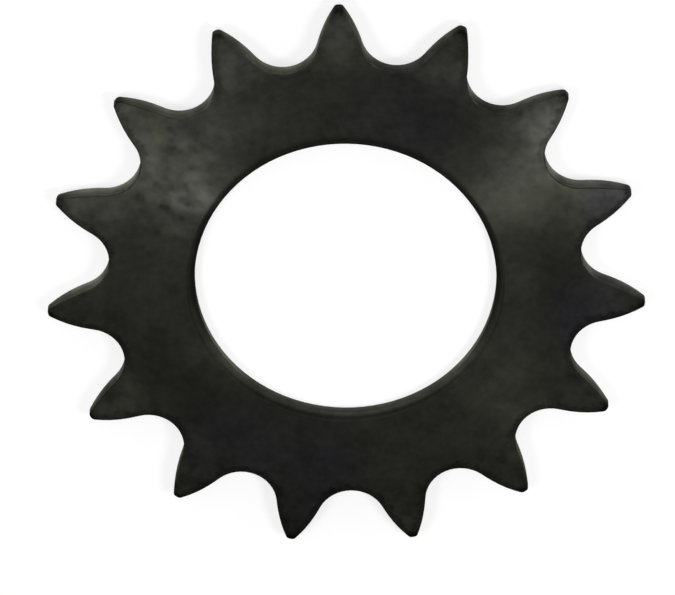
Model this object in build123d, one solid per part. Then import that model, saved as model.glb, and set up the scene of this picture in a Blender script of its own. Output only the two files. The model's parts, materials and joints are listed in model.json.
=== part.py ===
from build123d import *

import os
from math import acos, atan2, cos, degrees, hypot, radians, sin, sqrt, tan

# Plate sprocket for narrow half-inch roller chain: one flat toothed ring of
# steel, bored to slip over a round hub tube and be welded to it.
#
# Frame, in millimetres: origin at the centre of the bore, halfway through the
# plate; +Z along the bore; one tooth points along +Y.

# Driving dimensions: the chain, the tube that the plate slips over, and its edges
CHAIN_PITCH = 12.7
ROLLER_DIAMETER = 7.75
CHAIN_INNER_WIDTH = 2.38
CHAIN_SIDE_CLEARANCE = 0.09
TOOTH_COUNT = 15
HUB_TUBE_DIAMETER = 33.7
HUB_TUBE_CLEARANCE = 0.05
BORE_LEAD_IN = 0.8
BORE_EDGE_BREAK = 0.2
TOOTH_SIDE_RELIEF = 0.5
TIP_CORNER_RADIUS = 0.5
EDGE_BREAK = 0.12

# The most of a narrow tip's width that the radius of one of its corners may take
TIP_CORNER_SHARE = 0.7

# The standard roller-chain tooth form, which gives a smallest and a largest
# tooth gap: angles in degrees, and factors of the roller's diameter
SEAT_ANGLE_LIMITS = (120, 140)
SEAT_ANGLE_TOOTH_TERM = 90
SEAT_RADIUS_FACTOR = 0.505
SEAT_PLAY_FACTOR = 0.069
SMALL_FLANK_FACTOR = 0.12
SMALL_FLANK_TEETH = 2
LARGE_FLANK_FACTOR = 0.008
LARGE_FLANK_TEETH = 180
TIP_HEIGHT_FACTOR = 0.6

# The gap that is cut, midway between the smallest and the largest
HALF_SEAT_ANGLE = (sum(SEAT_ANGLE_LIMITS) / 2 - SEAT_ANGLE_TOOTH_TERM / TOOTH_COUNT) / 2
SEAT_PLAY = SEAT_PLAY_FACTOR * ROLLER_DIAMETER ** (1 / 3)
SEAT_RADIUS = SEAT_RADIUS_FACTOR * ROLLER_DIAMETER + SEAT_PLAY / 2
SMALL_FLANK_RADIUS = SMALL_FLANK_FACTOR * ROLLER_DIAMETER * (TOOTH_COUNT + SMALL_FLANK_TEETH)
LARGE_FLANK_RADIUS = LARGE_FLANK_FACTOR * ROLLER_DIAMETER * (TOOTH_COUNT**2 + LARGE_FLANK_TEETH)
FLANK_RADIUS = (SMALL_FLANK_RADIUS + LARGE_FLANK_RADIUS) / 2

# Sizes that follow from the chain and the tube
HALF_TOOTH_ANGLE = 180 / TOOTH_COUNT
PITCH_RADIUS = CHAIN_PITCH / (2 * sin(radians(HALF_TOOTH_ANGLE)))
TIP_RADIUS = CHAIN_PITCH * (TIP_HEIGHT_FACTOR + 1 / tan(radians(HALF_TOOTH_ANGLE))) / 2
HALF_THICKNESS = CHAIN_INNER_WIDTH / 2 - CHAIN_SIDE_CLEARANCE
BORE_RADIUS = HUB_TUBE_DIAMETER / 2 + HUB_TUBE_CLEARANCE
RELIEF_ARC_RADIUS = CHAIN_PITCH
CUT_OVERRUN = CHAIN_PITCH / 10


def polar(centre, radius, angle):
    """The point at a radius and an angle in degrees, counted from +X, about a centre."""
    return centre + Vector(radius * cos(radians(angle)), radius * sin(radians(angle)))


def tooth_gap():
    """The space between two teeth, centred on +Y and open past the tip circle.

    The roller's seat is one arc. The flank on each side carries on from it with
    a much larger arc that bulges the other way.
    """
    seat_centre = Vector(0, PITCH_RADIUS)
    flank_centre = polar(seat_centre, SEAT_RADIUS + FLANK_RADIUS, HALF_SEAT_ANGLE - 90)
    flank_start = HALF_SEAT_ANGLE + 90
    mouth_radius = TIP_RADIUS + CUT_OVERRUN

    # The flank ends where it meets the mouth circle: a triangle of three known sides
    centre_distance = flank_centre.length
    inward = degrees(atan2(flank_centre.Y, flank_centre.X)) + 180
    cosine = centre_distance**2 + FLANK_RADIUS**2 - mouth_radius**2
    cosine /= 2 * centre_distance * FLANK_RADIUS
    flank_end = inward - degrees(acos(cosine))

    with BuildSketch() as gap:
        with BuildLine():
            CenterArc(seat_centre, SEAT_RADIUS, -90 - HALF_SEAT_ANGLE, 2 * HALF_SEAT_ANGLE)
            flank = CenterArc(flank_centre, FLANK_RADIUS, flank_start, flank_end - flank_start)
            opening = Line(flank @ 1, (0, mouth_radius))
            mirror([flank, opening], about=Plane.YZ)
        make_face()
    return gap.sketch


def toothed_outline():
    """The sprocket's outline: the tip circle less the tooth gaps, its tip corners rounded.

    A tip so narrow that two full rounds would meet gets rounds in proportion to it.
    """
    with BuildSketch() as outline:
        Circle(TIP_RADIUS)
        with PolarLocations(0, TOOTH_COUNT, start_angle=HALF_TOOTH_ANGLE):
            add(tooth_gap(), mode=Mode.SUBTRACT)
        tip = outline.edges().sort_by(lambda edge: (edge @ 0.5).length)[-1]
        tip_corners = outline.vertices().group_by(lambda corner: hypot(corner.X, corner.Y))[-1]
        fillet(tip_corners, min(TIP_CORNER_RADIUS, TIP_CORNER_SHARE * tip.length))
    return outline.sketch


def relieved_ring():
    """The bored ring that the teeth are cut from, its sides curving in towards the rim."""
    relief_reach = sqrt(TOOTH_SIDE_RELIEF * (2 * RELIEF_ARC_RADIUS - TOOTH_SIDE_RELIEF))
    relief_start = Vector(TIP_RADIUS - relief_reach, HALF_THICKNESS)
    rim_reach = relief_reach + CUT_OVERRUN
    rim_drop = RELIEF_ARC_RADIUS - sqrt(RELIEF_ARC_RADIUS**2 - rim_reach**2)
    rim = relief_start + Vector(rim_reach, -rim_drop)
    with BuildPart() as ring:
        with BuildSketch(Plane.XZ):
            with BuildLine():
                TangentArc(relief_start, rim, tangent=(1, 0))
                Line(rim, (rim.X, 0))
                mirror(about=Plane.XZ)
                Polyline(
                    relief_start,
                    (BORE_RADIUS + BORE_LEAD_IN, HALF_THICKNESS),
                    (BORE_RADIUS, HALF_THICKNESS - BORE_LEAD_IN),
                    (BORE_RADIUS, BORE_EDGE_BREAK - HALF_THICKNESS),
                    (BORE_RADIUS + BORE_EDGE_BREAK, -HALF_THICKNESS),
                    (relief_start.X, -HALF_THICKNESS),
                )
            make_face()
        revolve(axis=Axis.Z)
    return ring.part


def is_flank(face):
    """Whether a face of the plate is part of its toothed outline."""
    centre = face.center()
    upright = abs(face.normal_at(centre).Z) < 0.001
    return upright and hypot(centre.X, centre.Y) > BORE_RADIUS + BORE_LEAD_IN


def sprocket():
    """The finished plate: the relieved ring cut to the toothed outline, its sharp edges broken."""
    outline = extrude(toothed_outline(), amount=HALF_THICKNESS + CUT_OVERRUN, both=True)
    plate = relieved_ring() & outline
    flanks = plate.faces().filter_by(is_flank)
    sharp_edges = flanks.edges().filter_by(Axis.Z, reverse=True)
    return chamfer(sharp_edges, EDGE_BREAK)


os.makedirs("parts", exist_ok=True)
export_step(sprocket(), "parts/sprocket.step")
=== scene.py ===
"""Looks for the chain sprocket: black-oxide steel on a white studio floor."""

import json
import math

import bpy
from mathutils import Matrix, Vector

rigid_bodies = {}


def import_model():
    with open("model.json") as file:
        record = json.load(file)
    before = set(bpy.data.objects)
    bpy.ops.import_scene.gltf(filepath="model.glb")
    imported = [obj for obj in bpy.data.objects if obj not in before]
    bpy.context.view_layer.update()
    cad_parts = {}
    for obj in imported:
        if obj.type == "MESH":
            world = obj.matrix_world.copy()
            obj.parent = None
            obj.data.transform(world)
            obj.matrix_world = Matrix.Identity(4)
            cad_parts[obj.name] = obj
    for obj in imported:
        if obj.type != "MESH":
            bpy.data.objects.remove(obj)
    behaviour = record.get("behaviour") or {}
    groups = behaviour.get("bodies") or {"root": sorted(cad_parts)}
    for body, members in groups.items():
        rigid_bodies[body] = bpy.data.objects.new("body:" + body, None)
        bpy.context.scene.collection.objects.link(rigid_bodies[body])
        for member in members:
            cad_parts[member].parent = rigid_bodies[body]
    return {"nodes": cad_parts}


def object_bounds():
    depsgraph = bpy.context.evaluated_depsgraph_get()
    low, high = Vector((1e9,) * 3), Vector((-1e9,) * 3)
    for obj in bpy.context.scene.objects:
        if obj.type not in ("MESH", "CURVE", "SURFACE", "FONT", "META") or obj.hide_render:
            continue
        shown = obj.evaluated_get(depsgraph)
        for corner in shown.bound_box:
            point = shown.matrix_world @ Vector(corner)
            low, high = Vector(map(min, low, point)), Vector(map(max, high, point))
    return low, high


MM = 0.001
WHITE = (1, 1, 1, 1)
CENTRE = (0.0, 0.0, 0.0)

# The camera, as fitted to the photo: how far the plate leans back from facing it, how
# the plate is turned on the floor and how the camera is rolled, in degrees; then how
# far off it is and where it aims, in millimetres
VIEW_TILT = 27.248
PLATE_TURN = 2.282
CAMERA_ROLL = -1.098
CAMERA_DISTANCE = 997.2
AIM_RIGHT = -0.904
AIM_UP = -2.191
PIXELS_PER_MM = 8.9267
IMAGE_WIDTH = 675
SENSOR_WIDTH = 36.0
CLIP_START = 0.01
CLIP_END = 50.0

# The plate's driving dimensions, as the CAD has them, in millimetres
CHAIN_PITCH = 12.7
ROLLER_DIAMETER = 7.75
CHAIN_INNER_WIDTH = 2.38
CHAIN_SIDE_CLEARANCE = 0.09
TOOTH_COUNT = 15
HUB_TUBE_DIAMETER = 33.7
HUB_TUBE_CLEARANCE = 0.05
BORE_LEAD_IN = 0.8

# The standard roller-chain tooth form, which gives a smallest and a largest tooth gap:
# angles in degrees, and factors of the roller's diameter
SEAT_ANGLE_LIMITS = (120, 140)
SEAT_ANGLE_TOOTH_TERM = 90
SEAT_RADIUS_FACTOR = 0.505
SEAT_PLAY_FACTOR = 0.069
SMALL_FLANK_FACTOR = 0.12
SMALL_FLANK_TEETH = 2
LARGE_FLANK_FACTOR = 0.008
LARGE_FLANK_TEETH = 180
TIP_HEIGHT_FACTOR = 0.6

# The gap that is cut, midway between the smallest and the largest, and the sizes that
# follow from the chain and the tube
HALF_TOOTH_ANGLE = 180 / TOOTH_COUNT
HALF_SEAT_ANGLE = (sum(SEAT_ANGLE_LIMITS) / 2 - SEAT_ANGLE_TOOTH_TERM / TOOTH_COUNT) / 2
SEAT_PLAY = SEAT_PLAY_FACTOR * ROLLER_DIAMETER ** (1 / 3)
SEAT_RADIUS = SEAT_RADIUS_FACTOR * ROLLER_DIAMETER + SEAT_PLAY / 2
SMALL_FLANK_RADIUS = SMALL_FLANK_FACTOR * ROLLER_DIAMETER * (TOOTH_COUNT + SMALL_FLANK_TEETH)
LARGE_FLANK_RADIUS = LARGE_FLANK_FACTOR * ROLLER_DIAMETER * (TOOTH_COUNT**2 + LARGE_FLANK_TEETH)
FLANK_RADIUS = (SMALL_FLANK_RADIUS + LARGE_FLANK_RADIUS) / 2
PITCH_RADIUS = CHAIN_PITCH / (2 * math.sin(math.radians(HALF_TOOTH_ANGLE)))
TIP_RADIUS = CHAIN_PITCH * (TIP_HEIGHT_FACTOR + 1 / math.tan(math.radians(HALF_TOOTH_ANGLE))) / 2
ROOT_RADIUS = PITCH_RADIUS - SEAT_RADIUS
BORE_RADIUS = HUB_TUBE_DIAMETER / 2 + HUB_TUBE_CLEARANCE
BORE_RIM = BORE_RADIUS + BORE_LEAD_IN
HALF_THICKNESS = CHAIN_INNER_WIDTH / 2 - CHAIN_SIDE_CLEARANCE

# The oxide's colours: warm, cool, and a neutral one for the worn and painted-sheen spots
WARM_OXIDE = (0.0175, 0.0183, 0.0141, 1)
COOL_OXIDE = (0.0156, 0.0156, 0.0168, 1)
WORN_AND_SHEEN_OXIDE = (0.0172, 0.0175, 0.0157, 1)

# The noises, in features per millimetre, from the broadest to the finest
CLOUDS = {"scale": 0.055, "detail": 3.0, "roughness": 0.55, "distortion": 0.6}
RING_WANDER = {"scale": 0.12, "detail": 1.0}
BLOTCHES = {"scale": 0.42, "detail": 2.0, "roughness": 0.55}
PALE_WEAR = {"scale": 0.56, "detail": 1.0}
DARK_WEAR = {"scale": 0.65, "detail": 1.0}
SPECKS = {"scale": 1.15, "detail": 2.0, "roughness": 0.6}
RINGS = {"scale": 2.2, "detail": 3.0, "roughness": 0.7}
GRAIN = {"scale": 2.4, "detail": 3.0, "roughness": 0.6}

# The span of a noise's values that is used, from where it has no effect or its least
# effect to where it has its most
NOISE_MIDDLE = 0.5
NOISE_SPAN = (0.3, 0.7)
COOL_SPAN = (0.35, 0.7)
PALE_WEAR_SPAN = (0.42, 0.72)
DARK_WEAR_SPAN = (0.46, 0.24)

# How strongly each noise changes the tone or the tint, and how far, in millimetres,
# the turned rings wander from true circles
CLOUD_DEPTH = 0.10
COOL_DRIFT = 0.25
BLOTCH_DEPTH = 0.18
SPECK_DEPTH = 0.12
RING_DEPTH = 0.04
RING_SHIFT = 0.6
PALE_WEAR_DEPTH = 0.80
DARK_WEAR_DEPTH = 0.55

# The teeth are more mottled than the ring, and the upper ones get a painted sheen, as from
# light above, from this height to that one over the bore's centre; lengths in millimetres
TOOTH_MOTTLING = 1.8
TOOTH_BLEND = 2.0
UPPER_TEETH_SHEEN = 0.5
SHEEN_FROM = -8.0
SHEEN_FULL = 8.0

# Darker zones along the sharp edges, with painted shade on the sides that face away
# from the light at +Y; the zone's border is ragged, the broken edge's isn't. Widths in
# millimetres; a tone of 1 changes nothing
EDGE_DARK = 0.45
EDGE_FADE = 1.1
EDGE_TONE = 0.93
SHADED_EDGE_TONE = 0.58
EDGE_RAGGED = 1.2
EDGE_PROBE = 0.1
BREAK_WIDTH = 0.14
BREAK_TONE = 0.82
SHADED_BREAK_TONE = 0.6

# The tooth tips are darker over this length: painted shade on the relieved tips
TIP_FADE = 1.3
TIP_SHADE_TONE = 0.25
TIP_WALL_SHADE_TONE = 0.55
TIP_RAGGED = 2.0

# The cut walls are painted lighter, as light from +Y, and paler still towards the floor
# from this height down, as painted light from the white floor; a normal's upright share
# tells a wall, below the span, from a face, above it
WALL_TONE = 1.9
PAINTED_FOOT_LIGHT = 4.5
FOOT_TOP = 0.3
BORE_WALL_TONE = 0.9
UPRIGHT_SPAN = (0.35, 0.75)

# Painted light and shade on the bore's lead-in, as light from above falls on it
# The bore's lead-in: its tone at the inner border, low in the bore and higher up; its
# tone at the outer border, at the bottom, the sides and the top; and how wide its
# inner border stays dark at the sides
BORE_LOW_LIGHT = 2.0
BORE_INNER_SHADE = 0.42
BORE_BOTTOM_TONE = 0.85
BORE_SIDE_TONE = 1.15
BORE_TOP_TONE = 0.6
BORE_SIDE_DARK = 0.4

# The fine dark line round the lead-in: how far inside the rim it lies at the bottom of
# the bore, and the height from which it lies on the rim
BORE_LINE_WIDTH = 0.28
BORE_LINE_TONE = 0.68
BORE_LINE_INSET = 0.37
BORE_LINE_FULL = -3.0

# How far the lead-in's painted light and shade fade out over the face, all round and more at the top
BORE_SHADE = 0.1
BORE_TOP_SHADE = 0.55

# The gloss: the face's roughness, what blotches, grain and the cut walls change in it,
# and the grain's relief, in millimetres
FACE_ROUGHNESS = 0.38
BLOTCH_ROUGHNESS = 0.03
GRAIN_ROUGHNESS = 0.02
WALL_ROUGHNESS = 0.12
BUMP_STRENGTH = 0.25
BUMP_HEIGHT = 0.01
SPECULAR_TINT = (0.5, 0.5, 0.5, 1)
TURNED_GLOSS = 1.0
TURNED_DIRECTION = 0.25

# Soft round spots, set after the paler places in the photo, partly worn oxide and partly
# painted sheen: angle from +X in degrees, radius and spread in millimetres, and how much
# the middle of the spot is paler
WEAR_AND_SHEEN_SPOTS = (
    (147, 21, 8, 0.18),
    (126, 24, 8, 0.85),
    (112, 22, 8, 0.52),
    (114, 30, 5, 0.98),
    (139, 29, 5, -0.25),
    (147, 18.5, 4.5, 0.42),
    (150, 26.5, 4, 0.25),
    (151, 17.4, 2.5, -0.55),
    (130, 17.8, 3, 0.45),
    (168, 19.5, 5, 0.28),
    (162, 29, 4, 0.15),
    (139, 31, 3, -0.15),
    (90, 31, 3, 0.65),
    (90, 29, 4, 0.15),
    (66, 29, 4, 0.48),
    (62, 26, 4, 0.25),
    (76, 21, 7, 0.24),
    (44, 27, 9, 0.60),
    (41, 30.5, 4, 0.82),
    (46, 26, 4, -0.12),
    (53, 18, 4, 0.50),
    (10, 17.8, 3, 0.35),
    (30, 21, 7, 0.22),
    (16, 30, 6, -0.35),
    (0, 18.5, 5, 0.70),
    (-16, 19.5, 4, 0.22),
    (-38, 17.6, 4, -0.38),
    (-5, 30, 5, 0.20),
    (176, 22, 8, 0.35),
    (214, 23, 11, -0.55),
    (-30, 28, 6, -0.20),
    (-90, 24, 10, -0.15),
    (-104, 31, 4, -0.25),
)

# The same, for where the worn spots show and how strongly
PITTED_SPOTS = (
    (150, 22, 8, 1.0),
    (132, 25, 8, 0.7),
    (114, 29, 6, 0.3),
)

# The same, for how much painted light makes the cut walls paler
WALL_LIGHT_SPOTS = (
    (20, 29, 8, 0.7),
    (43, 31, 5, 0.5),
    (53, 27, 3.5, -0.45),
    (78, 26, 4, -0.3),
    (90, 32, 5, -0.45),
    (105, 29, 10, 0.5),
    (134, 29, 7, 0.45),
    (157, 29, 7, 0.9),
    (182, 28.5, 3.5, 0.9),
    (207, 30, 6, -0.3),
    (-28, 29, 6, -0.3),
)

# The same, for how much cooler the oxide is
COOL_SPOTS = (
    (68, 22, 11, 1.0),
    (-10, 27, 8, 0.9),
    (17, 31, 6, 0.8),
    (-92, 24, 7, 0.6),
    (-107, 24, 11, 1.0),
    (-96, 31, 6, 0.9),
    (-120, 31, 5, 0.6),
    (-130, 24, 9, 0.8),
)

# The floor: its size in metres, and how far it lies under the plate in millimetres.
# Its own glow, for seen rays only, grows away from the plate, where the lamps fade, so
# that it looks evenly white
FLOOR_SIZE = 8.0
FLOOR_GAP = 0.02
FLOOR_COLOUR = (0.30, 0.30, 0.30, 1)
GLOW_MIDDLE = 0.73
GLOW_FAR = 0.97
GLOW_FROM = 60.0
GLOW_TO = 260.0

# The strength of the world as a light; seen or mirrored, it is white
AMBIENT = 0.10

# The lamps: name, place and size in millimetres, radiance, where 1 is white, and the
# place that the lamp faces. The two small near ones make the bright sectors of the
# turned face, and the low ones light the cut walls
LAMPS = (
    ("top", (-60, 372, 468), (400, 300), 1.0, (0, 0, 0)),
    ("right", (93, -17, 130), (45, 45), 18.5, (23, 12, 0)),
    ("left", (-92, -8, 130), (45, 45), 14.0, (-21, 14, 0)),
    ("low_back", (0, 435, 203), (1100, 160), 1.7, (0, 0, 0)),
    ("low_right", (480, 60, 130), (500, 160), 3.0, (0, 0, 0)),
    ("low_left", (-480, 60, 130), (500, 160), 2.4, (0, 0, 0)),
)


class Nodes:
    """Short calls for building a shader node tree."""

    def __init__(self, tree):
        self.tree = tree
        tree.nodes.clear()

    def add(self, kind, **values):
        """A new node, with its settings."""
        node = self.tree.nodes.new(kind)
        for name, value in values.items():
            setattr(node, name, value)
        return node

    def plug(self, value, socket):
        """Links an output socket, or sets a constant."""
        if isinstance(value, bpy.types.NodeSocket):
            self.tree.links.new(value, socket)
        else:
            socket.default_value = value

    def math(self, operation, first, second=0.0, third=0.0):
        """One step of arithmetic."""
        node = self.add("ShaderNodeMath", operation=operation)
        for value, socket in zip((first, second, third), node.inputs):
            self.plug(value, socket)
        return node.outputs[0]

    def total(self, first, *others):
        """The sum of several values."""
        for other in others:
            first = self.math("ADD", first, other)
        return first

    def product(self, first, *others):
        """The product of several values."""
        for other in others:
            first = self.math("MULTIPLY", first, other)
        return first

    def ramp(self, value, low, high, to_low=0.0, to_high=1.0, smooth=True):
        """Maps value from low..high to to_low..to_high, clamped."""
        node = self.add("ShaderNodeMapRange", clamp=True)
        node.interpolation_type = "SMOOTHSTEP" if smooth else "LINEAR"
        for number, item in enumerate((value, low, high, to_low, to_high)):
            self.plug(item, node.inputs[number])
        return node.outputs[0]

    def mix(self, share, first, second):
        """Mixes two numbers."""
        node = self.add("ShaderNodeMix", data_type="FLOAT")
        self.plug(share, node.inputs[0])
        self.plug(first, node.inputs[2])
        self.plug(second, node.inputs[3])
        return node.outputs[0]

    def blend(self, share, first, second):
        """Mixes two colours; the share is held between 0 and 1."""
        node = self.add("ShaderNodeMix", data_type="RGBA", clamp_factor=True)
        self.plug(share, node.inputs[0])
        self.plug(first, node.inputs[6])
        self.plug(second, node.inputs[7])
        return node.outputs[2]

    def combine(self, x, y=0.0):
        """The point x, y, 0."""
        node = self.add("ShaderNodeCombineXYZ")
        self.plug(x, node.inputs[0])
        self.plug(y, node.inputs[1])
        return node.outputs[0]

    def separate(self, vector):
        """The three parts of a vector."""
        node = self.add("ShaderNodeSeparateXYZ")
        self.plug(vector, node.inputs[0])
        return node.outputs

    def scale(self, vector, factor):
        """A vector times a number."""
        node = self.add("ShaderNodeVectorMath", operation="SCALE")
        self.plug(vector, node.inputs[0])
        self.plug(factor, node.inputs["Scale"])
        return node.outputs[0]

    def distance(self, first, second):
        """How far apart two points are."""
        node = self.add("ShaderNodeVectorMath", operation="DISTANCE")
        self.plug(first, node.inputs[0])
        self.plug(second, node.inputs[1])
        return node.outputs["Value"]

    def along(self, vector, direction):
        """How far a vector reaches along a direction of length 1."""
        node = self.add("ShaderNodeVectorMath", operation="DOT_PRODUCT")
        self.plug(vector, node.inputs[0])
        self.plug(direction, node.inputs[1])
        return node.outputs["Value"]

    def noise(self, where, scale, detail, roughness=0.5, distortion=0.0):
        """Smooth noise, mostly between 0.3 and 0.7."""
        node = self.add("ShaderNodeTexNoise")
        self.plug(where, node.inputs["Vector"])
        node.inputs["Scale"].default_value = scale
        node.inputs["Detail"].default_value = detail
        node.inputs["Roughness"].default_value = roughness
        node.inputs["Distortion"].default_value = distortion
        return node.outputs[0]


def remove_defaults():
    """Empties the scene that Blender starts with."""
    for thing in list(bpy.data.objects):
        bpy.data.objects.remove(thing, do_unlink=True)


def turn(degrees, axis):
    """A turn about X or Z."""
    return Matrix.Rotation(math.radians(degrees), 3, axis)


def make_camera():
    """The camera, at the photo's angle, distance and framing."""
    data = bpy.data.cameras.new("camera")
    data.sensor_width = SENSOR_WIDTH
    data.lens = PIXELS_PER_MM * CAMERA_DISTANCE / IMAGE_WIDTH * SENSOR_WIDTH
    data.clip_start = CLIP_START
    data.clip_end = CLIP_END
    camera = bpy.data.objects.new("camera", data)
    bpy.context.scene.collection.objects.link(camera)
    facing = turn(-PLATE_TURN, "Z") @ turn(-VIEW_TILT, "X") @ turn(-CAMERA_ROLL, "Z")
    place = facing @ Vector((AIM_RIGHT, AIM_UP, CAMERA_DISTANCE)) * MM
    camera.matrix_world = Matrix.Translation(place) @ facing.to_4x4()
    bpy.context.scene.camera = camera


def make_light(name, place, size, radiance, target):
    """A soft rectangular light that the camera doesn't see."""
    data = bpy.data.lights.new(name, "AREA")
    data.shape = "RECTANGLE"
    data.size = size[0] * MM
    data.size_y = size[1] * MM
    data.energy = radiance * math.pi * data.size * data.size_y
    light = bpy.data.objects.new(name, data)
    bpy.context.scene.collection.objects.link(light)
    place = Vector(place) * MM
    facing = (place - Vector(target) * MM).to_track_quat("Z", "Y")
    light.matrix_world = Matrix.Translation(place) @ facing.to_matrix().to_4x4()
    light.visible_camera = False


def seen_rays(nodes):
    """1 for the rays that see or mirror the surroundings, 0 for the rays that light."""
    path = nodes.add("ShaderNodeLightPath").outputs
    seen = nodes.math("MAXIMUM", path["Is Camera Ray"], path["Is Glossy Ray"])
    return nodes.math("MAXIMUM", seen, path["Is Transmission Ray"])


def make_world():
    """A white world that lights the plate only weakly."""
    world = bpy.data.worlds.new("studio")
    world.use_nodes = True
    bpy.context.scene.world = world
    nodes = Nodes(world.node_tree)
    background = nodes.add("ShaderNodeBackground")
    strength = nodes.ramp(seen_rays(nodes), 0.0, 1.0, AMBIENT, 1.0, smooth=False)
    nodes.plug(strength, background.inputs["Strength"])
    background.inputs["Color"].default_value = WHITE
    out = nodes.add("ShaderNodeOutputWorld")
    nodes.plug(background.outputs[0], out.inputs["Surface"])


def floor_white(height):
    """The floor's material: pale paint that takes shadows, and a glow that whitens it."""
    material = bpy.data.materials.new("floor_white")
    material.use_nodes = True
    nodes = Nodes(material.node_tree)
    paint = nodes.add("ShaderNodeBsdfDiffuse")
    paint.inputs["Color"].default_value = FLOOR_COLOUR
    where = nodes.add("ShaderNodeTexCoord").outputs["Object"]
    away = nodes.distance(where, (0.0, 0.0, height))
    level = nodes.ramp(away, GLOW_FROM * MM, GLOW_TO * MM, GLOW_MIDDLE, GLOW_FAR)
    glow = nodes.add("ShaderNodeEmission")
    glow.inputs["Color"].default_value = WHITE
    nodes.plug(nodes.product(seen_rays(nodes), level), glow.inputs["Strength"])
    both = nodes.add("ShaderNodeAddShader")
    nodes.plug(paint.outputs[0], both.inputs[0])
    nodes.plug(glow.outputs[0], both.inputs[1])
    out = nodes.add("ShaderNodeOutputMaterial")
    nodes.plug(both.outputs[0], out.inputs["Surface"])
    return material


def make_floor(height):
    """The square floor, at a height in metres."""
    half = FLOOR_SIZE / 2
    corners = [(x * half, y * half, height) for x, y in ((-1, -1), (1, -1), (1, 1), (-1, 1))]
    mesh = bpy.data.meshes.new("floor")
    mesh.from_pydata(corners, [], [(0, 1, 2, 3)])
    mesh.materials.append(floor_white(height))
    floor = bpy.data.objects.new("floor", mesh)
    bpy.context.scene.collection.objects.link(floor)


def rim_distance(nodes, x, y, radius):
    """How far inside the toothed outline a point of the face lies, in millimetres.

    The plate is folded into half a tooth gap, where the outline is the roller's
    seat, then the flank's larger arc, then the tip circle.
    """
    tooth_turn = 2 * math.radians(HALF_TOOTH_ANGLE)
    teeth_round = nodes.math("DIVIDE", nodes.math("ARCTAN2", x, y), tooth_turn)
    part = nodes.math("FRACT", nodes.total(teeth_round, TOOTH_COUNT))
    from_gap = nodes.math("ABSOLUTE", nodes.math("SUBTRACT", part, 0.5))
    angle = nodes.product(from_gap, tooth_turn)
    across = nodes.product(radius, nodes.math("SINE", angle))
    outward = nodes.product(radius, nodes.math("COSINE", angle))
    point = nodes.combine(across, outward)

    # The seat hands over to the flank on the line through both their centres
    lean = math.radians(HALF_SEAT_ANGLE - 90)
    step = SEAT_RADIUS + FLANK_RADIUS
    seat_centre = (0.0, PITCH_RADIUS, 0.0)
    flank_centre = (step * math.cos(lean), PITCH_RADIUS + step * math.sin(lean), 0.0)
    seat = nodes.math("SUBTRACT", nodes.distance(point, seat_centre), SEAT_RADIUS)
    flank = nodes.math("SUBTRACT", FLANK_RADIUS, nodes.distance(point, flank_centre))
    past_seat = nodes.along(point, (-math.sin(lean), math.cos(lean), 0.0))
    on_flank = nodes.math("GREATER_THAN", past_seat, PITCH_RADIUS * math.cos(lean))
    tip = nodes.math("SUBTRACT", TIP_RADIUS, radius)
    return nodes.math("MINIMUM", nodes.mix(on_flank, seat, flank), tip)


class Place:
    """Where a shaded point lies on the plate, in millimetres, and the noises there."""

    def __init__(self, nodes):
        coordinates = nodes.add("ShaderNodeTexCoord").outputs
        self.body = nodes.scale(coordinates["Object"], 1 / MM)
        self.x, self.y, self.z = nodes.separate(self.body)
        self.face = nodes.combine(self.x, self.y)
        self.radius = nodes.distance(self.face, CENTRE)
        self.rim = rim_distance(nodes, self.x, self.y, self.radius)
        upright = nodes.math("ABSOLUTE", nodes.separate(coordinates["Normal"])[2])
        self.wall = nodes.math("SUBTRACT", 1.0, nodes.ramp(upright, *UPRIGHT_SPAN))
        self.clouds = nodes.noise(self.body, **CLOUDS)
        self.blotches = nodes.noise(self.body, **BLOTCHES)
        self.specks = nodes.noise(self.body, **SPECKS)
        self.grain = nodes.noise(self.body, **GRAIN)


def spots(nodes, place, places):
    """The sum of soft round spots on the face, each with a height of its own."""
    total = 0.0
    for angle, radius, spread, height in places:
        turned = math.radians(angle)
        centre = (radius * math.cos(turned), radius * math.sin(turned), 0.0)
        away = nodes.distance(place.face, centre)
        total = nodes.total(nodes.ramp(away, 0.0, spread, height, 0.0), total)
    return total


def on_teeth(nodes, place, on_ring, beyond):
    """Goes from one value on the ring to another on the teeth."""
    return nodes.ramp(place.radius, ROOT_RADIUS - TOOTH_BLEND, ROOT_RADIUS + TOOTH_BLEND, on_ring, beyond)


def oxide_tint(nodes, place, wear_and_sheen):
    """The colour: warm oxide, cooler in patches, and neutral in the paler spots of wear and painted
    sheen.
    """
    drift = nodes.ramp(place.clouds, *COOL_SPAN, -COOL_DRIFT, COOL_DRIFT)
    cool = nodes.total(spots(nodes, place, COOL_SPOTS), drift)
    tint = nodes.blend(cool, WARM_OXIDE, COOL_OXIDE)
    return nodes.blend(wear_and_sheen, tint, WORN_AND_SHEEN_OXIDE)


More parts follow.
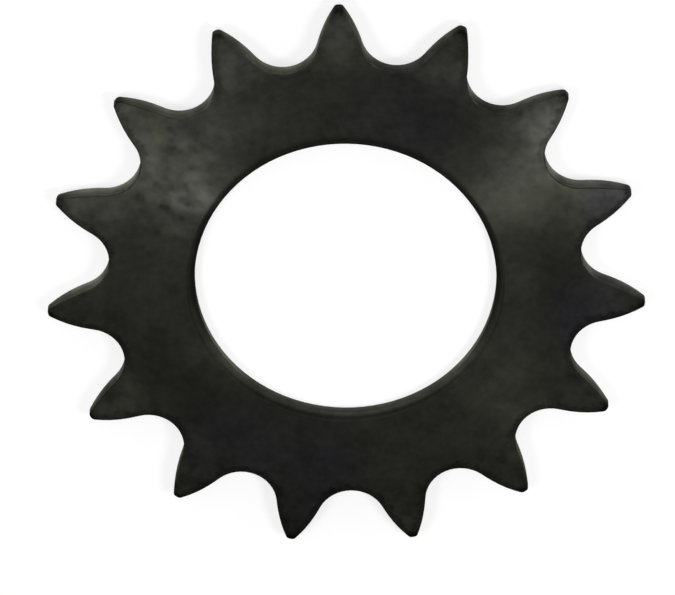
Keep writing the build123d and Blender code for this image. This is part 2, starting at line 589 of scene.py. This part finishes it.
def mottling(nodes, place):
    """Tone about 1: turned rings, blotches and specks, and pale and dark worn spots."""
    wander = nodes.noise(place.body, **RING_WANDER)
    ring_radius = nodes.math("MULTIPLY_ADD", wander, RING_SHIFT, place.radius)
    rings = nodes.noise(nodes.combine(ring_radius), **RINGS)
    rings = nodes.ramp(rings, *NOISE_SPAN, 1 - RING_DEPTH, 1 + RING_DEPTH)
    blotches = nodes.ramp(place.blotches, *NOISE_SPAN, -BLOTCH_DEPTH, BLOTCH_DEPTH, smooth=False)
    blotches = nodes.product(blotches, on_teeth(nodes, place, 1.0, TOOTH_MOTTLING))
    specks = nodes.ramp(place.specks, *NOISE_SPAN, -SPECK_DEPTH, SPECK_DEPTH, smooth=False)

    pale = nodes.noise(place.body, **PALE_WEAR)
    pale = nodes.ramp(pale, *PALE_WEAR_SPAN, 0.0, PALE_WEAR_DEPTH, smooth=False)
    dark = nodes.noise(place.body, **DARK_WEAR)
    dark = nodes.ramp(dark, *DARK_WEAR_SPAN, 0.0, DARK_WEAR_DEPTH, smooth=False)
    worn = nodes.product(nodes.math("SUBTRACT", pale, dark), spots(nodes, place, PITTED_SPOTS))
    return nodes.total(rings, blotches, specks, worn)


def face_tone(nodes, place, wear_and_sheen):
    """Tone of the flat faces: spots of wear and painted sheen, a painted sheen on the upper teeth, and
    clouds.
    """
    # Painted sheen on the upper teeth, as from light above
    higher = nodes.ramp(place.y, SHEEN_FROM, SHEEN_FULL, 0.0, UPPER_TEETH_SHEEN)
    upper_teeth_sheen = nodes.product(higher, on_teeth(nodes, place, 0.0, 1.0))
    clouds = nodes.ramp(place.clouds, *NOISE_SPAN, -CLOUD_DEPTH, CLOUD_DEPTH)
    return nodes.total(wear_and_sheen, upper_teeth_sheen, 1.0, clouds)


def edge_shade(nodes, place):
    """Darkens the faces along the toothed outline, with painted shade on the edges that face away from
    the light at +Y.

    A step towards +Y leads nearer to the rim where the edge faces +Y, and further
    from it on the side in painted shade.
    """
    probe_y = nodes.total(place.y, EDGE_PROBE)
    probe_radius = nodes.distance(nodes.combine(place.x, probe_y), CENTRE)
    probe_rim = rim_distance(nodes, place.x, probe_y, probe_radius)
    nearer = nodes.math("SUBTRACT", place.rim, probe_rim)
    sides = (-EDGE_PROBE / 2, EDGE_PROBE / 2)
    # The edges that face away from the light at +Y take the darker tones, as painted shade
    zone_tone = nodes.ramp(nearer, *sides, SHADED_EDGE_TONE, EDGE_TONE)
    break_tone = nodes.ramp(nearer, *sides, SHADED_BREAK_TONE, BREAK_TONE)

    rough = nodes.math("SUBTRACT", nodes.total(place.specks, place.grain), 2 * NOISE_MIDDLE)
    ragged = nodes.math("MULTIPLY_ADD", rough, EDGE_RAGGED, place.rim)
    zone = nodes.ramp(ragged, EDGE_DARK, EDGE_FADE, zone_tone, 1.0)
    broken = nodes.ramp(place.rim, BREAK_WIDTH / 2, BREAK_WIDTH, break_tone, 1.0)
    return nodes.product(zone, broken)


def tip_shade(nodes, place):
    """Paints shade on the faces at the tooth tips, with a ragged border."""
    rough = nodes.math("SUBTRACT", place.grain, NOISE_MIDDLE)
    ragged = nodes.math("MULTIPLY_ADD", rough, TIP_RAGGED, place.radius)
    # Painted shade towards the tips
    return nodes.ramp(ragged, TIP_RADIUS - TIP_FADE, TIP_RADIUS, 1.0, TIP_SHADE_TONE)


def bore_light_and_shade(nodes, place):
    """Paints light and shade on the bore's lead-in: pale low in the bore, dark inside at its sides and
    top.
    """
    line = nodes.ramp(place.y, -BORE_RIM, BORE_LINE_FULL, BORE_RIM - BORE_LINE_INSET, BORE_RIM)
    from_line = nodes.math("ABSOLUTE", nodes.math("SUBTRACT", place.radius, line))
    line_tone = nodes.ramp(from_line, 0.0, BORE_LINE_WIDTH, BORE_LINE_TONE, 1.0)

    # Painted light low in the bore, painted shade higher up
    inner = nodes.ramp(place.y, -BORE_RIM, BORE_LINE_FULL, BORE_LOW_LIGHT, BORE_INNER_SHADE)
    outer = nodes.ramp(place.y, -BORE_RIM / 2, 0.0, BORE_BOTTOM_TONE, BORE_SIDE_TONE)
    outer = nodes.product(outer, nodes.ramp(place.y, 0.0, BORE_RIM, 1.0, BORE_TOP_TONE))
    dark_to = nodes.ramp(place.y, -BORE_RIM / 2, 0.0, BORE_RADIUS, BORE_RADIUS + BORE_SIDE_DARK)
    lead_in = nodes.ramp(place.radius, dark_to, line, inner, outer, smooth=False)

    # At the top of the bore the painted shade reaches a little onto the face
    top_share = nodes.ramp(place.y, 0.0, BORE_RIM)
    shade_start = nodes.math("MULTIPLY_ADD", top_share, BORE_TOP_SHADE / 2, BORE_RIM)
    shade_end = nodes.math("MULTIPLY_ADD", top_share, BORE_TOP_SHADE, BORE_RIM + BORE_SHADE)
    return nodes.product(line_tone, nodes.ramp(place.radius, shade_start, shade_end, lead_in, 1.0))


def wall_painted_light(nodes, place):
    """Tone of the cut walls: painted light, paler towards the floor and in spots, and painted shade at
    the tips.
    """
    # Painted light on the walls, strongest towards the floor
    tone = nodes.ramp(place.z, -HALF_THICKNESS, FOOT_TOP, PAINTED_FOOT_LIGHT, WALL_TONE, smooth=False)
    paler = nodes.total(spots(nodes, place, WALL_LIGHT_SPOTS), 1.0)
    in_bore = nodes.math("LESS_THAN", place.radius, BORE_RIM)
    bore = nodes.math("MULTIPLY_ADD", in_bore, BORE_WALL_TONE - 1, 1.0)
    tip = nodes.ramp(place.radius, TIP_RADIUS - TIP_FADE, TIP_RADIUS, 1.0, TIP_WALL_SHADE_TONE)
    return nodes.product(tone, paler, bore, tip)


def roughness(nodes, place):
    """Satin gloss, duller in patches and on the cut walls."""
    blotches = nodes.ramp(place.blotches, *NOISE_SPAN, -BLOTCH_ROUGHNESS, BLOTCH_ROUGHNESS)
    grain = nodes.ramp(place.grain, *NOISE_SPAN, -GRAIN_ROUGHNESS, GRAIN_ROUGHNESS)
    return nodes.total(blotches, FACE_ROUGHNESS, grain, nodes.product(place.wall, WALL_ROUGHNESS))


def black_oxide():
    """Black-oxide steel: a dark metal whose gloss follows the turning marks round the bore."""
    material = bpy.data.materials.new("black_oxide_steel_looks")
    material.use_nodes = True
    nodes = Nodes(material.node_tree)
    place = Place(nodes)

    # Paler spots, partly worn oxide and partly painted sheen
    wear_and_sheen = spots(nodes, place, WEAR_AND_SHEEN_SPOTS)
    uneven = mottling(nodes, place)
    face = nodes.product(
        face_tone(nodes, place, wear_and_sheen),
        uneven,
        edge_shade(nodes, place),
        tip_shade(nodes, place),
        bore_light_and_shade(nodes, place),
    )
    wall = nodes.product(wall_painted_light(nodes, place), uneven)
    tone = nodes.mix(place.wall, face, wall)
    colour = nodes.scale(oxide_tint(nodes, place, wear_and_sheen), tone)

    bump = nodes.add("ShaderNodeBump")
    bump.inputs["Strength"].default_value = BUMP_STRENGTH
    bump.inputs["Distance"].default_value = BUMP_HEIGHT * MM
    nodes.plug(place.grain, bump.inputs["Height"])

    shader = nodes.add("ShaderNodeBsdfPrincipled")
    nodes.plug(colour, shader.inputs["Base Color"])
    nodes.plug(roughness(nodes, place), shader.inputs["Roughness"])
    nodes.plug(bump.outputs[0], shader.inputs["Normal"])
    shader.inputs["Metallic"].default_value = 1.0
    shader.inputs["Specular Tint"].default_value = SPECULAR_TINT
    shader.inputs["Anisotropic"].default_value = TURNED_GLOSS
    shader.inputs["Anisotropic Rotation"].default_value = TURNED_DIRECTION
    tangent = nodes.add("ShaderNodeTangent", direction_type="RADIAL", axis="Z")
    nodes.plug(tangent.outputs[0], shader.inputs["Tangent"])
    out = nodes.add("ShaderNodeOutputMaterial")
    nodes.plug(shader.outputs[0], out.inputs["Surface"])
    return material


remove_defaults()
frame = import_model()
cad_low, cad_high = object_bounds()
frame["nodes"]["sprocket"].material_slots[0].material = black_oxide()

make_camera()
make_world()
make_floor(cad_low.z - FLOOR_GAP * MM)
for lamp in LAMPS:
    make_light(*lamp)

bpy.context.scene.view_settings.view_transform = "Standard"
